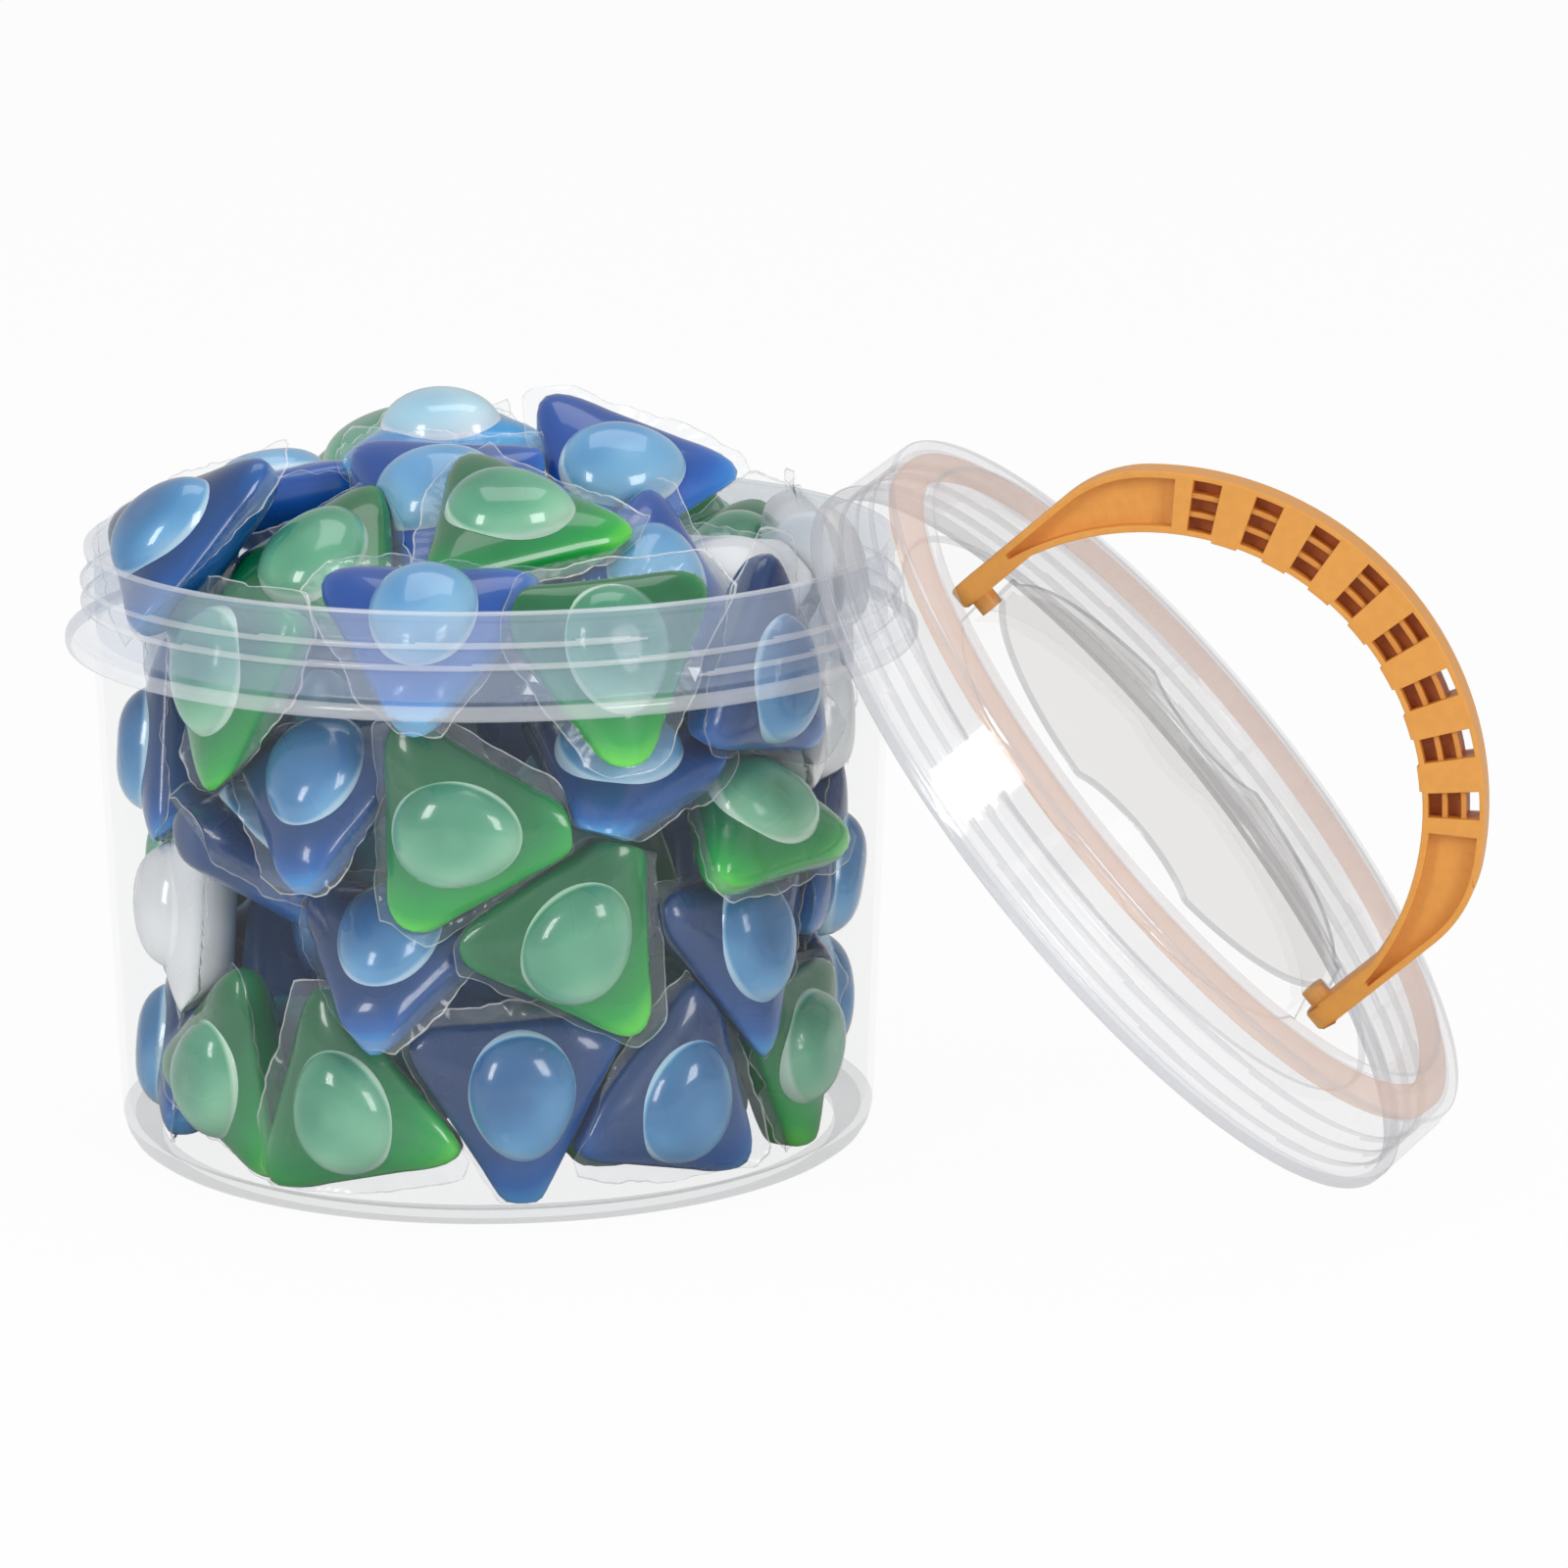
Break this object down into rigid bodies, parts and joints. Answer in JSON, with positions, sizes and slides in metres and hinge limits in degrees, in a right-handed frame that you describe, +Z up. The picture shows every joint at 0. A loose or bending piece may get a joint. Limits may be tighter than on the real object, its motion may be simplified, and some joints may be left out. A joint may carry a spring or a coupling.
{
  "type": "laundry pod holder",
  "caption": "Round frosted screw-top tub heaped with liquid laundry pods, its clear lid with an arched carry handle taken off and leaning on the rim.",
  "frame": {"origin": "centre of the tub's flat base, on the surface that it stands on", "axes": "+Z up along the tub's axis, +X from the tub towards the leaning lid, -Y towards the viewer of the picture"},
  "size_m": [0.2848, 0.1975, 0.1511],
  "materials": {
    "frosted_tub": "translucent, lightly frosted",
    "clear_lid": "clear",
    "seal": "soft satin",
    "orange_handle": "satin",
    "pod_blue": "clear film over coloured liquid",
    "pod_green": "clear film over coloured liquid",
    "pod_white": "clear film over pale liquid"
  },
  "bodies": {
    "tub_and_lid": {"lid": "clear_lid", "pod_blue_01": "pod_blue", "pod_blue_02": "pod_blue", "pod_blue_03": "pod_blue", "pod_blue_04": "pod_blue", "pod_blue_05": "pod_blue", "pod_blue_06": "pod_blue", "pod_blue_07": "pod_blue", "pod_blue_08": "pod_blue", "pod_blue_09": "pod_blue", "pod_blue_10": "pod_blue", "pod_blue_11": "pod_blue", "pod_blue_12": "pod_blue", "pod_blue_13": "pod_blue", "pod_blue_14": "pod_blue", "pod_blue_15": "pod_blue", "pod_blue_16": "pod_blue", "pod_blue_17": "pod_blue", "pod_blue_18": "pod_blue", "pod_blue_19": "pod_blue", "pod_blue_20": "pod_blue", "pod_blue_21": "pod_blue", "pod_blue_22": "pod_blue", "pod_blue_23": "pod_blue", "pod_blue_24": "pod_blue", "pod_blue_25": "pod_blue", "pod_blue_26": "pod_blue", "pod_blue_27": "pod_blue", "pod_blue_28": "pod_blue", "pod_green_01": "pod_green", "pod_green_02": "pod_green", "pod_green_03": "pod_green", "pod_green_04": "pod_green", "pod_green_05": "pod_green", "pod_green_06": "pod_green", "pod_green_07": "pod_green", "pod_green_08": "pod_green", "pod_green_09": "pod_green", "pod_green_10": "pod_green", "pod_green_11": "pod_green", "pod_green_12": "pod_green", "pod_green_13": "pod_green", "pod_green_14": "pod_green", "pod_green_15": "pod_green", "pod_green_16": "pod_green", "pod_green_17": "pod_green", "pod_green_18": "pod_green", "pod_green_19": "pod_green", "pod_green_20": "pod_green", "pod_white_01": "pod_white", "pod_white_02": "pod_white", "pod_white_03": "pod_white", "pod_white_04": "pod_white", "pod_white_05": "pod_white", "pod_white_06": "pod_white", "pods_core": "pod_blue", "seal_ring": "seal", "tub": "frosted_tub"},
    "carry_handle": {"handle": "orange_handle"}
  },
  "joints": [
    {"name": "handle_fold", "type": "hinge", "parent": "tub_and_lid", "child": "carry_handle", "pos_m": [0.1324, -0.02554, 0.07398], "axis": [-0.6431, 0.1426, 0.7524], "range_deg": [-90, 90]}
  ]
}
